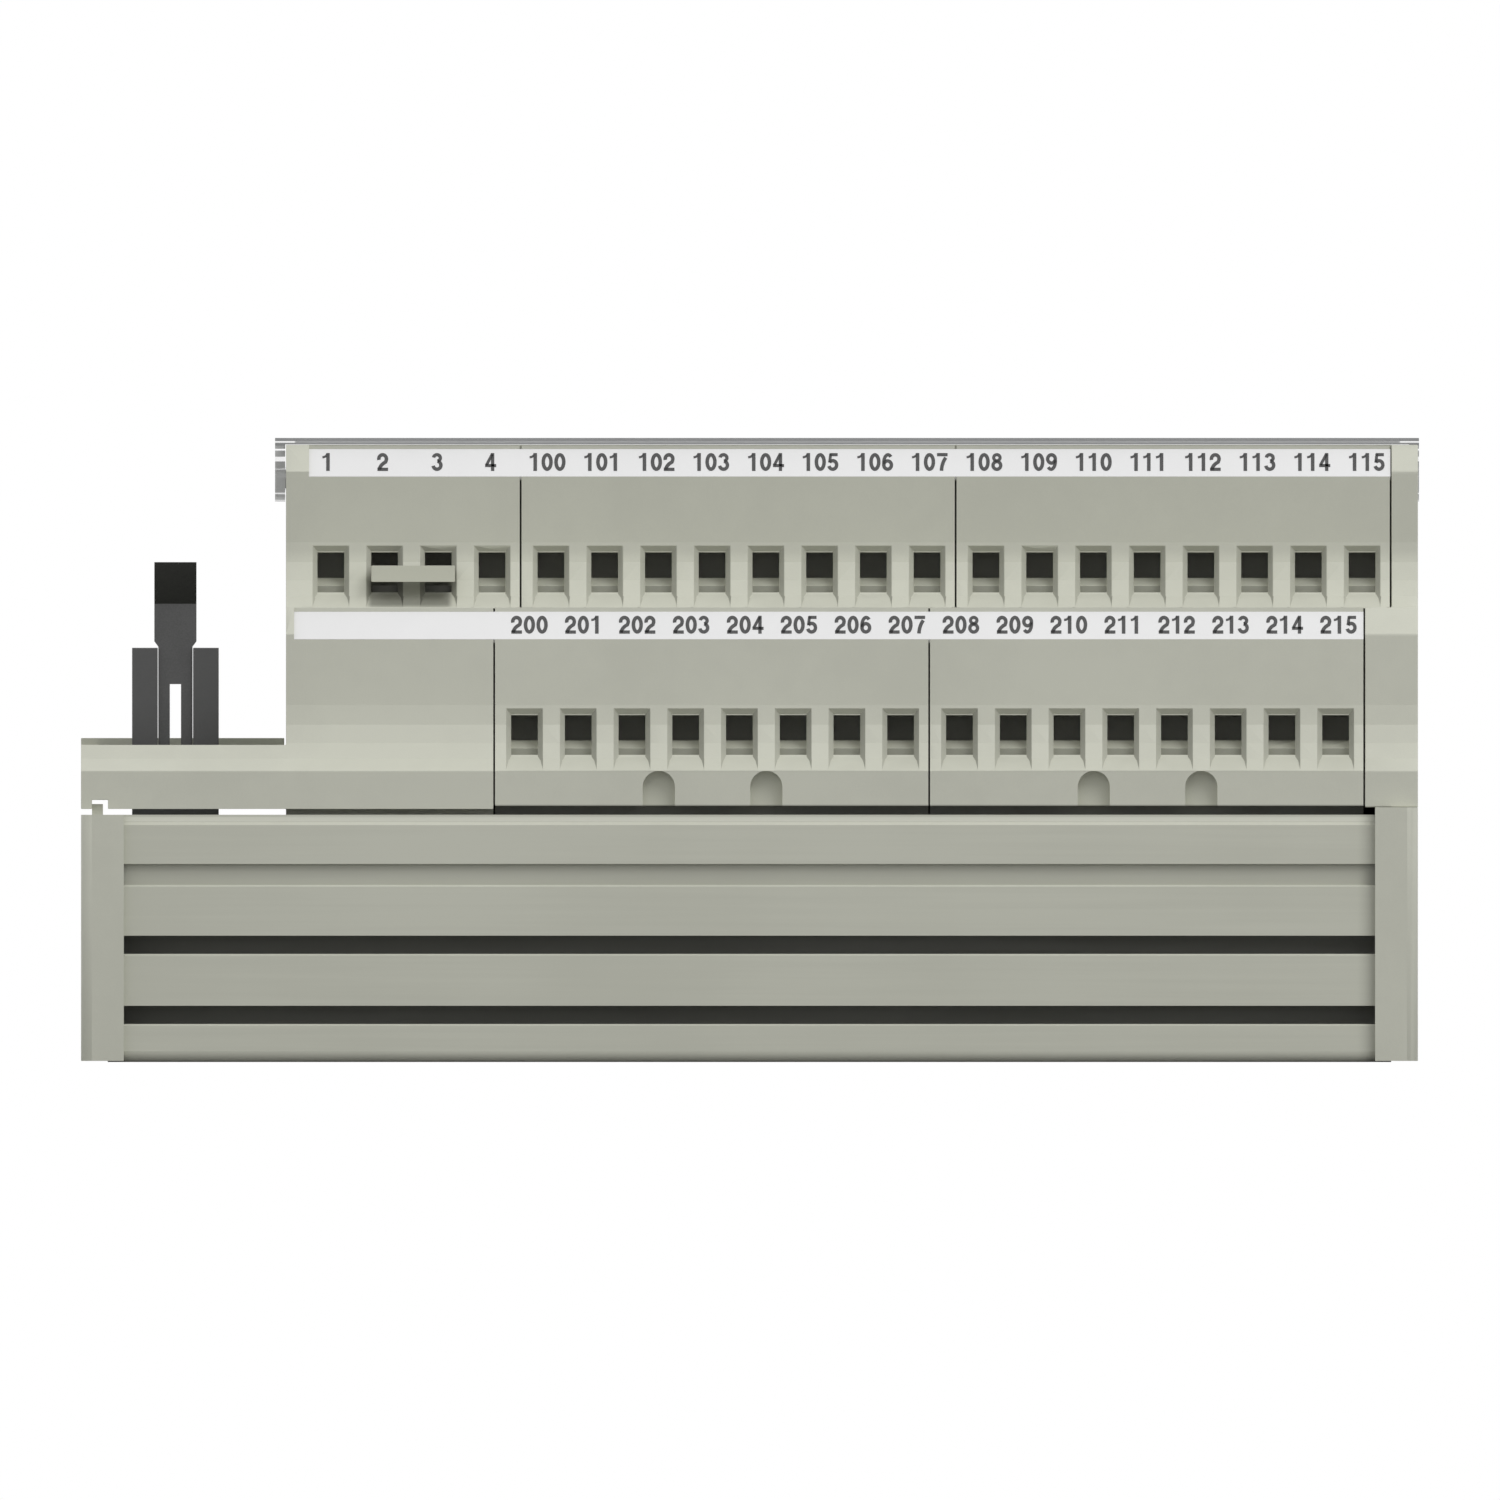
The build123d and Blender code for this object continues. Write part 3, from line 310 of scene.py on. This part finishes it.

# %% [markdown]
# ## Latches
# The header's latches are smooth black levers. Over its bend a lever leans out as a finger pad, and
# the pad's front looks a little down, where the room is dark, so painted shade darkens it. Height and
# normal together find it.

# %% Latches with painted shade on their finger pads
LATCH_BEND = 42.8
latch = Finish("latch_plastic", IOR=PLASTIC_IOR)
latch_grain = latch.noise(GRAIN_MM, detail=1.0) * 0.5 + latch.noise(CLOUD_MM, detail=4.0) * 0.5
above_bend = latch.mm(Z).between(LATCH_BEND - 0.1, LATCH_BEND + 0.1)
turned_down = (latch.facing.part(Z) * -1.0).between(0.3, 0.5)
lever_black = latch_grain.between(0.35, 0.65).mix(linear("4b4b4b"), linear("535353"))
# The darker tone on the finger pad is painted shade.
latch.feed(Base_Color=(above_bend * turned_down).mix(lever_black, linear("262623")),
           Roughness=latch_grain * 0.14 + 0.38)
latch.relief(latch_grain, 0.004)
paint(latch.material, "latch_front", "latch_rear")

# %% [markdown]
# ## The extruded base
# The base is the same plastic pushed through a die instead of moulded, so its grain is drawn out in
# long faint streaks along X. Stretching the noise along that axis gives them. Painted shade, found by
# the depth below the front face, darkens the slots and the groove, a painted highlight lightens the
# lip along the top edge, and a painted shadow darkens the base towards the right cap.

# %% Extruded plastic
BASE_HALF_DEPTH, SLOTS_TOP, GROOVE, LIP = 34.3, 13.2, (16.4, 18.6), (22.45, 22.9)
CAP_SHADOW_X = (56.6, 58.3)
SLOT_SHADE, GROOVE_SHADE, CAP_SHADE = 0.72, 0.2, 0.3

extruded = Finish("extruded_plastic", IOR=PLASTIC_IOR)
streaks = extruded.noise(0.5, detail=3.0, stretch=(0.02, 1, 1))
slow = extruded.noise(22.0, detail=2.0)
tone = (streaks * 0.4 + slow * 0.6).between(0.35, 0.65)
depth = BASE_HALF_DEPTH - extruded.mm(Y).maths("ABSOLUTE")
height = extruded.mm(Z)
in_slot = depth.between(0.5, 2.2) * (1.0 - height.between(SLOTS_TOP - 0.1, SLOTS_TOP + 0.1))
in_groove = depth.between(0.2, 0.6) * ((height > GROOVE[0]) - (height > GROOVE[1]))
near_cap = extruded.mm(X).between(*CAP_SHADOW_X)
# Painted shade in the slots and groove, painted shadow beside the right cap, and a painted highlight on
# the lip.
shadows = in_slot * SLOT_SHADE + in_groove * GROOVE_SHADE + near_cap * CAP_SHADE
tone_with_lip_highlight = band(height, *LIP, 0.1).mix(tone.mix(linear("cbccbe"), linear("d1d2c4")), linear("e4e5d7"))
extruded.feed(Base_Color=shadows.maths("MINIMUM", SLOT_SHADE).mix(tone_with_lip_highlight, PAINTED_SHADE_TONE),
              Roughness=streaks.between(0.3, 0.7) * 0.12 + 0.4)
extruded.relief(streaks, 0.006)
paint(extruded.material, "base_profile")

# %% [markdown]
# ## Metal inside the terminals
# Screws and cages are zinc-plated steel, the pins are tinned and the header's contacts have a flash
# of gold. Plating is never even, so the gloss is cloudy. The screws' thread is a relief: rings
# 0.5 mm apart, worked out from the height alone.

# %% Zinc, tin and gold
THREAD_PITCH_MM, THREAD_DEPTH_MM = 0.5, 0.05


def plated_metal(name, colour, rough, threaded=False):
    """Metal with a cloudy gloss; a thread is a sine of the height above the rail."""
    finish = Finish(name, Metallic=1.0)
    cloud = finish.noise(0.9, detail=4.0)
    bright = linear(colour)
    finish.feed(Base_Color=cloud.between(0.3, 0.7).mix(scaled(bright, 0.8), bright),
                Roughness=cloud * 0.2 + rough)
    if threaded:
        turns = (finish.mm(Z) * (2 * math.pi / THREAD_PITCH_MM)).maths("SINE")
        finish.relief(turns * 0.5 + 0.5, THREAD_DEPTH_MM)
    else:
        finish.relief(cloud * 0.3, 0.003)
    return finish.material


zinc_steel = plated_metal("zinc_steel", "8f8f8c", 0.25)
zinc_thread = plated_metal("zinc_thread", "a3a39f", 0.22, threaded=True)
tinned_copper = plated_metal("tinned_copper", "b9b6ae", 0.2)
contact_gold = plated_metal("contact_gold", "d8b566", 0.18)
paint(zinc_steel, *[f"cages_{block}" for block in BLOCKS])
paint(zinc_thread, *[f"screws_{block}" for block in BLOCKS])
paint(tinned_copper, "jumper_prongs", *[f"pins_{block}" for block in BLOCKS])
paint(contact_gold, "header_pins")

# %% [markdown]
# ## Circuit board
# The board shows only round the header. It is glass laminate under green lacquer, with copper
# tracks that stand up a little under it. A wave across X, at the pitch of the header's contacts,
# draws the tracks.

# %% Board lacquer
TRACK_PITCH_MM = 2.54
board = Finish("board_lacquer", IOR=1.5)
tracks = (board.mm(X) * (2 * math.pi / TRACK_PITCH_MM)).maths("SINE").between(0.55, 0.7)
weave = board.noise(0.4, detail=1.0)
board.feed(Base_Color=(tracks * 0.7 + weave * 0.3).mix(linear("16422a"), linear("2f6b43")),
           Roughness=weave * 0.15 + 0.22)
board.relief(tracks, 0.03)
paint(board.material, "circuit_board")

# %% [markdown]
# ## Clear cover
# Clear plastic shows little on its broad faces and a lot at its edges, where one looks through
# centimetres of it. Alpha does both: low where the surface faces up or sideways, high on the narrow
# edges. The edges are found from the normal and from the height, never from the camera. Thin bright
# lines are painted glints: at fixed heights an edge turns see-through and lets the background
# through, each listed with its two heights in millimetres and its strength. The line along the plate
# is stronger near the two ends.

# %% Clear plastic
EDGE_ON, PLATE_FOOT, PLATE_LINE, LINE_BLUR = 0.6, 57.7, (57.86, 58.0), 0.02
LEFT_END, RIGHT_END = -42.5, 60.7
EAR_LINES = ((57.12, 57.29, 0.95), (56.11, 56.54, 0.98), (55.33, 55.46, 0.5), (54.56, 55.03, 0.12),
             (53.05, 53.19, 0.75), (52.43, 52.52, 0.7))

clear = Finish("clear_plastic", IOR=PLASTIC_IOR)
clear_x, clear_z = clear.mm(X), clear.mm(Z)
end_on = clear.facing.part(Y).maths("ABSOLUTE") > EDGE_ON
side_on = clear.facing.part(X).maths("ABSOLUTE") > EDGE_ON
edge = (end_on + side_on * (clear_z > PLATE_FOOT)).maths("MINIMUM", 1.0)
upright = 1.0 - clear_z.between(PLATE_FOOT - 0.2, PLATE_FOOT)
between_ends = band(clear_x, LEFT_END, RIGHT_END, 0.1)
lines = band(clear_z, *PLATE_LINE, LINE_BLUR) * ((1.0 - between_ends) * 0.65 + 0.3)
for line_foot, line_head, strength in EAR_LINES:
    lines = lines + band(clear_z, line_foot, line_head, LINE_BLUR) * strength
# The listed bands are painted glints: the clear edge turns see-through at fixed heights.
glint_opacity = 1.0 - (lines * end_on).maths("MINIMUM", 0.95)
scuff = clear.noise(1.6, detail=5.0, stretch=(0.2, 1, 1))
clear.feed(Base_Color=upright.mix(linear("979899"), linear("c5c6c7")), Roughness=scuff * 0.1 + 0.05,
           Alpha=(edge * 0.72 + 0.14 + scuff.between(0.55, 0.8) * 0.03) * glint_opacity)
clear.material.surface_render_method = "DITHERED"
paint(clear.material, "clear_cover")

# %% [markdown]
# ## Label strips and their numbers
# The strips are thin white plastic with printed numbers. The ink is a dark grey that is a little
# uneven, as it is on a satin surface.

# %% White strip
strip_plastic = moulded_plastic("label_plastic", "f0f0f0", drift=0.012, grain_mm=0.12,
                                grain_depth_mm=0.002)
paint(strip_plastic, "label_strip_lower", "label_strip_upper")

ink = Finish("printed_ink", IOR=1.45)
speckle = ink.noise(0.09, detail=2.0)
ink.feed(Base_Color=speckle.between(0.3, 0.7).mix(linear("434343"), linear("5a5a5a")),
         Roughness=speckle * 0.2 + 0.5)

# %% [markdown]
# ## Drawing the digits
# The numbers are set in a heavy upright sans. Each digit is drawn as one or more strokes of a broad
# pen: a stroke is an arc of an ellipse or a straight line, and its width is laid off to both sides
# of its path. The strip's own box, read from the CAD, says where the slope lies that carries them.

# %% Digits as pen strokes
DIGIT_HIGH, DIGIT_ADVANCE, DIGIT_MARGIN, PEN = 1.67, 1.19, 0.07, 0.33
ABOVE_MIDDLE = 0.06
DIGIT_FOOT = ABOVE_MIDDLE - DIGIT_HIGH / 2


def arc(cx, cy, rx, ry, start, end, steps=22):
    """Points on an ellipse: centre plus radii times cosine and sine of an even run of angles."""
    angle = np.radians(np.linspace(start, end, steps))
    return np.stack([cx + rx * np.cos(angle), cy + ry * np.sin(angle)], 1)


def line(*points):
    """A straight stroke's two ends."""
    return np.array(points, float)


DIGITS = {
    "0": [(arc(0.525, 0.835, 0.36, 0.67, 0, 360, 40), PEN)],
    "1": [(line((0.6, 0), (0.6, DIGIT_HIGH)), PEN),
          (arc(0.08, 1.62, 0.45, 0.34, -90, -8, 8), 0.21)],
    "2": [(np.vstack([arc(0.515, 1.13, 0.355, 0.375, 195, -18),
                      arc(1.3, -0.05, 1.12, 0.98, 117, 172, 12)]), PEN),
          (line((0.03, 0.15), (1.02, 0.15)), 0.3)],
    "3": [(arc(0.5, 1.215, 0.32, 0.3, 172, -82), 0.31),
          (arc(0.505, 0.535, 0.365, 0.375, 84, -172), 0.32)],
    "4": [(line((0.72, 0), (0.72, DIGIT_HIGH)), 0.31),
          (line((0.02, 0.5), (1.05, 0.5)), 0.28),
          (line((0.13, 0.52), (0.68, 1.56)), 0.27)],
    "5": [(line((0.22, 1.52), (0.96, 1.52)), 0.29),
          (line((0.31, 1.6), (0.21, 0.78)), 0.27),
          (arc(0.5, 0.56, 0.365, 0.4, 142, -165), 0.32)],
    "6": [(arc(0.525, 0.55, 0.355, 0.385, 0, 360, 36), 0.32),
          (arc(0.56, 0.76, 0.395, 0.75, 190, 48), 0.31)],
    "7": [(line((0.04, 1.52), (1.02, 1.52)), 0.3),
          (arc(1.55, -0.1, 1.1, 1.72, 129, 176, 12), 0.33)],
    "8": [(arc(0.525, 1.235, 0.3, 0.285, 0, 360, 32), 0.29),
          (arc(0.525, 0.515, 0.36, 0.36, 0, 360, 32), 0.31)],
    "9": [(arc(0.525, 1.12, 0.355, 0.385, 0, 360, 36), 0.32),
          (arc(0.49, 0.91, 0.395, 0.75, 10, -132), 0.31)],
}


def pen_stroke(path, width):
    """A flat ribbon: each point moved half the pen's width to both sides, square to the path's run."""
    run = np.gradient(path, axis=0)
    if np.allclose(path[0], path[-1]):
        run[0] = run[-1] = path[1] - path[-2]
    side = np.stack([-run[:, 1], run[:, 0]], 1) / np.linalg.norm(run, axis=1, keepdims=True) * width / 2
    points = np.concatenate([path + side, path - side])
    k = np.arange(len(path) - 1)
    return points, np.stack([k, k + len(path), k + len(path) + 1, k + 1], 1)


print(len(DIGITS), "digits from", sum(len(strokes) for strokes in DIGITS.values()), "pen strokes")

# %% [markdown]
# ## Printing the numbers
# Each number stands over its own terminal. The first four were measured one by one in the
# photograph, and the two long rows by their first number and their step. The ink lies a hair above
# the strip's slope, so the two surfaces don't fight for the same place.

# %% The printed numbers
STRIP_THICK_MM, INK_LIFT_MM = 0.5, 0.02
COMMON_X = (-39.5, -34.31, -29.22, -24.24)
UPPER_FIRST_X, UPPER_STEP, LOWER_FIRST_X, LOWER_STEP, ROW_LENGTH = -18.95, 5.103, -20.61, 5.04, 16


def print_numbers(strip, labels, name):
    """Lays numbers on a strip's 45 degree face: width stays X, height climbs Y and Z alike."""
    low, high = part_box(strip)
    thickness = STRIP_THICK_MM * MM * math.sqrt(0.5)
    rise = (high.z - low.z) - thickness
    middle = np.array([0, low.y + rise / 2, low.z + thickness + rise / 2])
    lift = np.array([0, -1, 1]) * math.sqrt(0.5) * INK_LIFT_MM * MM
    points, faces, count = [], [], 0
    for text, x in labels:
        for place, digit in enumerate(text):
            left = x + (place - len(text) / 2) * DIGIT_ADVANCE + DIGIT_MARGIN
            for path, width in DIGITS[digit]:
                flat, cells = pen_stroke(path, width)
                across, up = (flat[:, 0] + left) * MM, (flat[:, 1] + DIGIT_FOOT) * MM
                points.append(np.stack([across, up, up], 1) + middle + lift)
                faces.append(cells + count)
                count += len(flat)
    mesh = bpy.data.meshes.new(name)
    mesh.from_pydata(np.vstack(points).tolist(), [], np.vstack(faces).tolist())
    mesh.materials.append(ink.material)
    piece = bpy.data.objects.new(name, mesh)
    bpy.context.scene.collection.objects.link(piece)
    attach(piece, "base")
    print(name, len(labels), "numbers,", len(mesh.polygons), "faces")


upper_labels = [(str(1 + k), x) for k, x in enumerate(COMMON_X)]
upper_labels += [(str(100 + k), UPPER_FIRST_X + UPPER_STEP * k) for k in range(ROW_LENGTH)]
lower_labels = [(str(200 + k), LOWER_FIRST_X + LOWER_STEP * k) for k in range(ROW_LENGTH)]
print_numbers("label_strip_upper", upper_labels, "numbers_upper")
print_numbers("label_strip_lower", lower_labels, "numbers_lower")

# %% [markdown]
# ## Soft edges
# A CAD edge is perfectly sharp, and nothing moulded is. A Weld modifier first joins the loose
# triangles, then a Bevel rounds each sharp edge by about a tenth of a millimetre, enough to catch a
# line of light.

# %% Rounded edges
WELD_MM, SHARP_DEGREES = 0.002, 32
SOFT_EDGES_MM = {
    0.12: ("base_profile", "end_cap_left", "end_cap_right", "connector_housing", "end_piece_right",
           "rear_housing"),
    0.07: [f"terminal_block_{block}" for block in BLOCKS],
    0.1: ("jumper_grip", "latch_front", "latch_rear", "header_body"),
}


def soften(name, width_mm):
    """Welds a CAD node's triangles and rounds its sharp edges."""
    weld = nodes[name].modifiers.new("weld", "WELD")
    weld.merge_threshold = WELD_MM * MM
    bevel = nodes[name].modifiers.new("soft_edges", "BEVEL")
    bevel.width, bevel.segments, bevel.limit_method = width_mm * MM, 2, "ANGLE"
    bevel.angle_limit = math.radians(SHARP_DEGREES)
    bevel.use_clamp_overlap = True


for width_mm, names in SOFT_EDGES_MM.items():
    for name in names:
        soften(name, width_mm)
    print(len(names), "pieces with their edges rounded by", width_mm, "mm")

# %% [markdown]
# ## Floor
# The floor is a pale sheet that takes the shadow. It looks white to the camera and in reflections.
# The light that bounces off it is kept low, because the room round the real object was darker below
# than above, so every other kind of ray meets a darker grey.

# %% Floor
FLOOR_HALF_WIDTH_MM, FLOOR_Z_MM = 600.0, -0.1


def rays(tree, *kinds):
    """Outputs of a Light Path node, each 1 for its own kind of ray."""
    path = tree.nodes.new("ShaderNodeLightPath")
    return [Field(tree, path.outputs[f"Is {kind} Ray"]) for kind in kinds]


def sheet_mesh(name, half_width, z):
    """A flat square about the origin: plus and minus half its width along X and Y."""
    mesh = bpy.data.meshes.new(name)
    corners = np.array([[-1, -1, 0], [1, -1, 0], [1, 1, 0], [-1, 1, 0]]) * half_width + [0, 0, z]
    mesh.from_pydata(corners.tolist(), [], [(0, 1, 2, 3)])
    return mesh


floor_finish = Finish("floor_paper", Roughness=0.9)
eye_ray, gloss_ray = rays(floor_finish.tree, "Camera", "Glossy")
white = floor_finish.noise(1.5, detail=3.0).mix(linear("fbfbfb"), linear("ffffff"))
floor_finish.feed(Base_Color=(eye_ray + gloss_ray).mix(linear("6c6c6c"), white))
floor = bpy.data.objects.new("floor", sheet_mesh("floor", FLOOR_HALF_WIDTH_MM * MM, FLOOR_Z_MM * MM))
floor.data.materials.append(floor_finish.material)
bpy.context.scene.collection.objects.link(floor)
print("floor of", 2 * FLOOR_HALF_WIDTH_MM, "mm at", FLOOR_Z_MM, "mm")

# %% [markdown]
# ## World and lamp
# The world is plain white to the camera, in reflections and through clear plastic, and one step
# lower to every other ray, which gives the even, soft light of the photograph. One weak square lamp
# from the upper right adds a direction.

# %% World and lamp
WORLD_LEVEL = 0.8
scene = bpy.context.scene
scene.world = bpy.data.worlds.new("studio")
scene.world.use_nodes = True
tree = scene.world.node_tree
sky = tree.nodes["Background"]
eye_ray, gloss_ray, through_ray = rays(tree, "Camera", "Glossy", "Transmission")
seen = (eye_ray + gloss_ray + through_ray).maths("MINIMUM", 1.0)
tree.links.new((seen * (1 - WORLD_LEVEL) + WORLD_LEVEL).socket, sky.inputs["Strength"])
sky.inputs["Color"].default_value = (1, 1, 1, 1)


def softbox(name, place, aim, size, power):
    """A square lamp that looks at a point."""
    lamp = bpy.data.lights.new(name, "AREA")
    lamp.shape, lamp.size, lamp.energy = "SQUARE", size, power
    holder = bpy.data.objects.new(name, lamp)
    holder.location = place
    holder.rotation_euler = (Vector(aim) - Vector(place)).to_track_quat("-Z", "Y").to_euler()
    scene.collection.objects.link(holder)
    print("lamp", name, "of", power, "W")


softbox("key", place=(0.55, -0.75, 0.9), aim=(0, 0, 0.03), size=0.5, power=3.2)

# %% [markdown]
# ## Camera
# The photograph is a straight front view without any perspective, so the camera is orthographic.
# Its width and height come from the photograph's scale and from the row of pixels where the base's
# underside lies.

# %% Camera
PHOTO_PIXELS, UNDERSIDE_PIXEL, PIXELS_PER_MM = 1500, 1062, 10.704
VIEW_WIDTH = PHOTO_PIXELS / PIXELS_PER_MM * MM
EYE_HEIGHT = (UNDERSIDE_PIXEL - PHOTO_PIXELS / 2) / PIXELS_PER_MM * MM
camera = bpy.data.cameras.new("camera")
camera.type, camera.ortho_scale = "ORTHO", VIEW_WIDTH
camera.clip_start, camera.clip_end = 0.01, 10.0
eye = bpy.data.objects.new("camera", camera)
eye.location = (0, -1.0, EYE_HEIGHT)
eye.rotation_euler = (math.pi / 2, 0, 0)
scene.collection.objects.link(eye)
scene.camera = eye
scene.view_settings.view_transform = "Standard"
print("camera sees", round(VIEW_WIDTH / MM, 2), "mm across")

# %% [markdown]
# ## Final update
# The view layer is updated once more.

# %% Final update of the view layer
bpy.context.view_layer.update()
